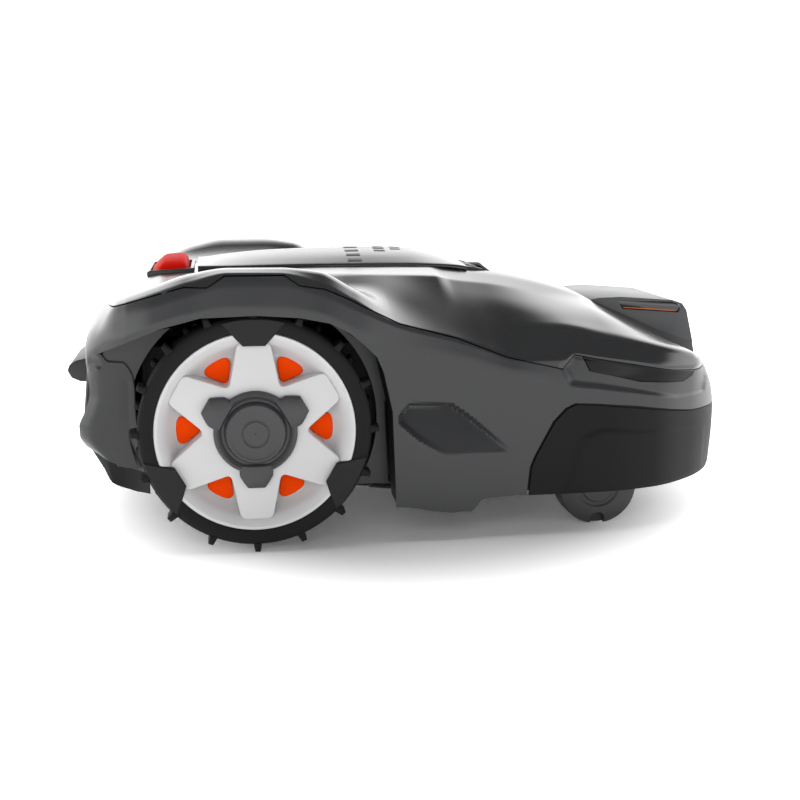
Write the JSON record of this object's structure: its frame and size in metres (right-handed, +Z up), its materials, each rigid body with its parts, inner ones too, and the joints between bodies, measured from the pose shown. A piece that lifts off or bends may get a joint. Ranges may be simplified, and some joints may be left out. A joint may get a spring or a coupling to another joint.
{
  "type": "robotic lawn mower",
  "caption": "Robotic lawn mower with a floating cover, lugged drive wheels, swivelling casters and a height-adjustable disc of pivoting blades.",
  "frame": {"origin": "on the ground, under the middle of the bounding box", "axes": "+X forward, +Y to the left of the mower, +Z up"},
  "size_m": [0.748, 0.54, 0.289],
  "materials": {
    "cover_plastic": "satin",
    "body_plastic": "satin",
    "bumper_plastic": "fine texture",
    "chassis_plastic": "fine texture",
    "seal_rubber": "soft",
    "steel": "brushed",
    "bush_plastic": "smooth",
    "battery_case": "smooth",
    "circuit_board": "satin",
    "contact_brass": "polished",
    "panel_plastic": "fine texture",
    "mount_rubber": "soft",
    "motor_metal": "die cast",
    "handle_plastic": "fine texture",
    "lens": "smoked clear",
    "tower_plastic": "satin",
    "visor_gloss": "glossy",
    "light_orange": "translucent",
    "plate_plastic": "satin",
    "hinge_plastic": "fine texture",
    "stop_red": "satin gloss",
    "knob_plastic": "knurled",
    "button_plastic": "satin",
    "carriage_plastic": "smooth",
    "disc_plastic": "smooth",
    "blade_steel": "ground",
    "skid_plastic": "smooth",
    "tyre_rubber": "moulded",
    "rim_plastic": "satin",
    "insert_orange": "satin",
    "clamp_plastic": "satin",
    "cap_plastic": "satin",
    "arm_plastic": "smooth",
    "caster_plastic": "smooth"
  },
  "bodies": {
    "chassis": {"chassis_base": "chassis_plastic", "blade_deck": "chassis_plastic", "blade_housing": "chassis_plastic", "chassis_front": "chassis_plastic", "chassis_lid": "chassis_plastic", "chassis_seal": "seal_rubber", "chassis_screws": "steel", "caster_bushes": "bush_plastic", "battery_pack": "battery_case", "main_board": "circuit_board", "charge_contacts": "contact_brass", "control_panel": "panel_plastic", "mount_posts": "mount_rubber", "guide_posts": "steel", "height_motor": "motor_metal", "drive_motors": "motor_metal", "carry_handle": "handle_plastic"},
    "cover_mounts": {"cover_mounts": "mount_rubber"},
    "cover": {"top_cover": "cover_plastic", "body_shell": "body_plastic", "front_bumper": "bumper_plastic", "headlights": "lens", "sensor_tower": "tower_plastic", "sensor_visor": "visor_gloss", "status_light": "light_orange", "stop_plate": "plate_plastic", "hinge_cover": "hinge_plastic", "hatch_pin": "steel", "stop_spring": "steel"},
    "hatch": {"hatch_lid": "cover_plastic"},
    "stop_button": {"stop_button": "stop_red"},
    "jog_knob": {"jog_knob": "knob_plastic"},
    "power_button": {"power_button": "button_plastic"},
    "cutting_unit": {"cutter_carriage": "carriage_plastic", "cutter_motor": "motor_metal"},
    "height_screw": {"height_screw": "steel"},
    "blade_disc": {"blade_disc": "disc_plastic", "blade_screws": "steel"},
    "blade_1": {"blade_1": "blade_steel"},
    "blade_2": {"blade_2": "blade_steel"},
    "blade_3": {"blade_3": "blade_steel"},
    "skid_plate": {"skid_plate": "skid_plastic"},
    "wheel_right": {"tyre_right": "tyre_rubber", "rim_right": "rim_plastic", "rim_inserts_right": "insert_orange", "tyre_clamps_right": "clamp_plastic", "hub_cap_right": "cap_plastic", "wheel_axle_right": "steel"},
    "caster_arm_right": {"caster_arm_right": "arm_plastic", "caster_axle_right": "steel"},
    "caster_wheel_right": {"caster_wheel_right": "caster_plastic"},
    "wheel_left": {"tyre_left": "tyre_rubber", "rim_left": "rim_plastic", "rim_inserts_left": "insert_orange", "tyre_clamps_left": "clamp_plastic", "hub_cap_left": "cap_plastic", "wheel_axle_left": "steel"},
    "caster_arm_left": {"caster_arm_left": "arm_plastic", "caster_axle_left": "steel"},
    "caster_wheel_left": {"caster_wheel_left": "caster_plastic"}
  },
  "joints": [
    {"name": "cover_bump", "type": "slide", "parent": "chassis", "child": "cover_mounts", "axis": [1, 0, 0], "range_m": [-0.008, 0.008], "stiffness_N_per_m": 4000},
    {"name": "cover_lift", "type": "slide", "parent": "cover_mounts", "child": "cover", "axis": [0, 0, 1], "range_m": [0, 0.012], "stiffness_N_per_m": 2500, "springref_m": -0.01},
    {"name": "hatch_hinge", "type": "hinge", "parent": "cover", "child": "hatch", "pos_m": [0.082, 0, 0.26], "axis": [0, 1, 0], "range_deg": [0, 65]},
    {"name": "stop_press", "type": "slide", "parent": "cover", "child": "stop_button", "axis": [0, 0, -1], "range_m": [0, 0.005], "stiffness_N_per_m": 1500, "deforming": ["stop_spring"]},
    {"name": "jog_turn", "type": "hinge", "parent": "chassis", "child": "jog_knob", "pos_m": [-0.05, 0, 0.252], "axis": [0, 0, 1], "continuous": true},
    {"name": "power_press", "type": "slide", "parent": "chassis", "child": "power_button", "axis": [0, 0, -1], "range_m": [0, 0.002], "stiffness_N_per_m": 800},
    {"name": "cut_height", "type": "slide", "parent": "chassis", "child": "cutting_unit", "axis": [0, 0, 1], "range_m": [0, 0.035]},
    {"name": "height_turn", "type": "hinge", "parent": "chassis", "child": "height_screw", "pos_m": [0.01, 0.064, 0.14], "axis": [0, 0, 1], "continuous": true},
    {"name": "disc_spin", "type": "hinge", "parent": "cutting_unit", "child": "blade_disc", "pos_m": [0.01, 0, 0.028], "axis": [0, 0, 1], "continuous": true},
    {"name": "blade_1_swing", "type": "hinge", "parent": "blade_disc", "child": "blade_1", "pos_m": [0.102, 0, 0.026], "axis": [0, 0, 1], "continuous": true},
    {"name": "blade_2_swing", "type": "hinge", "parent": "blade_disc", "child": "blade_2", "pos_m": [-0.036, 0.07967, 0.026], "axis": [0, 0, 1], "continuous": true},
    {"name": "blade_3_swing", "type": "hinge", "parent": "blade_disc", "child": "blade_3", "pos_m": [-0.036, -0.07967, 0.026], "axis": [0, 0, 1], "continuous": true},
    {"name": "skid_spin", "type": "hinge", "parent": "cutting_unit", "child": "skid_plate", "pos_m": [0.01, 0, 0.015], "axis": [0, 0, 1], "continuous": true},
    {"name": "wheel_right_drive", "type": "hinge", "parent": "chassis", "child": "wheel_right", "pos_m": [-0.172, -0.23, 0.124], "axis": [0, 1, 0], "continuous": true},
    {"name": "caster_right_swivel", "type": "hinge", "parent": "chassis", "child": "caster_arm_right", "pos_m": [0.2045, -0.16, 0.12], "axis": [0, 0, 1], "continuous": true},
    {"name": "caster_right_roll", "type": "hinge", "parent": "caster_arm_right", "child": "caster_wheel_right", "pos_m": [0.1965, -0.19, 0.043], "axis": [0, 1, 0], "continuous": true},
    {"name": "wheel_left_drive", "type": "hinge", "parent": "chassis", "child": "wheel_left", "pos_m": [-0.172, 0.23, 0.124], "axis": [0, 1, 0], "continuous": true},
    {"name": "caster_left_swivel", "type": "hinge", "parent": "chassis", "child": "caster_arm_left", "pos_m": [0.2045, 0.16, 0.12], "axis": [0, 0, 1], "continuous": true},
    {"name": "caster_left_roll", "type": "hinge", "parent": "caster_arm_left", "child": "caster_wheel_left", "pos_m": [0.1965, 0.19, 0.043], "axis": [0, 1, 0], "continuous": true}
  ],
  "couplings": [
    {"joint": "height_turn", "follows": "cut_height", "rad_per_m": 785.4}
  ]
}
